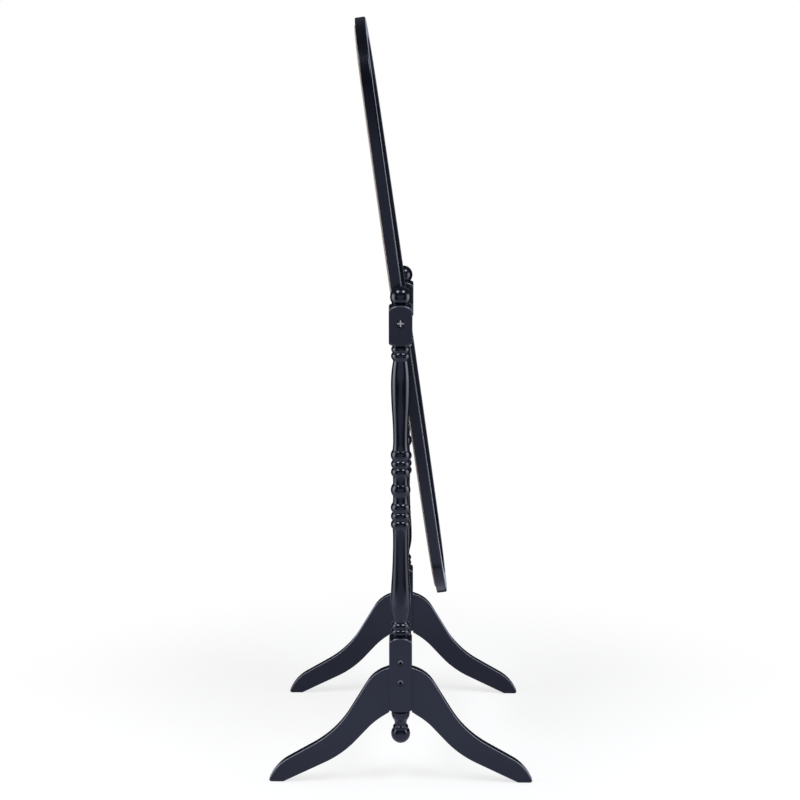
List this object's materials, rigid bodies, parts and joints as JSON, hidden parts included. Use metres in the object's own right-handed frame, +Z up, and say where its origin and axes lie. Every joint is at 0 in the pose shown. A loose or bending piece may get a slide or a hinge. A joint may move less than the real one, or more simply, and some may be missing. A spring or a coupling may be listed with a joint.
{
  "type": "cheval mirror",
  "caption": "Full-length oval mirror in a painted frame that tilts between two turned posts, each on a pair of curved legs, joined by a stretcher.",
  "frame": {"origin": "on the floor, midway between the two posts, below the pivot axis", "axes": "+Z up; X along the pivot axis, left post at -X as seen from the front; the mirror faces -Y"},
  "size_m": [0.53, 0.5154, 1.4791],
  "materials": {
    "black_paint": "satin black lacquer with a blue cast on wood",
    "bare_wood": "unfinished beech",
    "raw_fibreboard": "raw pressed board",
    "silvered_glass": "silvered mirror",
    "foam_strip": "soft foam",
    "zinc_steel": "zinc plated",
    "black_steel": "blackened steel, bright where the driver has worn it",
    "nylon": "black nylon",
    "insert_brass": "plain brass"
  },
  "bodies": {
    "stand": {"left_post": "black_paint", "right_post": "black_paint", "left_front_leg": "black_paint", "left_rear_leg": "black_paint", "right_front_leg": "black_paint", "right_rear_leg": "black_paint", "left_front_leg_dowels": "bare_wood", "left_rear_leg_dowels": "bare_wood", "right_front_leg_dowels": "bare_wood", "right_rear_leg_dowels": "bare_wood", "stretcher": "black_paint", "left_stretcher_bolts": "black_steel", "left_barrel_nuts": "zinc_steel", "left_pivot_bushing": "nylon", "left_pivot_washer": "zinc_steel", "right_stretcher_bolts": "black_steel", "right_barrel_nuts": "zinc_steel", "right_pivot_bushing": "nylon", "right_pivot_washer": "zinc_steel"},
    "mirror": {"mirror_frame": "black_paint", "mirror_glass": "silvered_glass", "glass_cushion": "foam_strip", "backing_board": "raw_fibreboard", "backing_screws": "zinc_steel", "left_pivot_bolt": "black_steel", "left_pivot_spacer": "nylon", "left_pivot_insert": "insert_brass", "right_pivot_bolt": "black_steel", "right_pivot_spacer": "nylon", "right_pivot_insert": "insert_brass"}
  },
  "joints": [
    {"name": "mirror_tilt", "type": "hinge", "parent": "stand", "child": "mirror", "pos_m": [0, 0, 0.905], "axis": [1, 0, 0], "continuous": true}
  ]
}
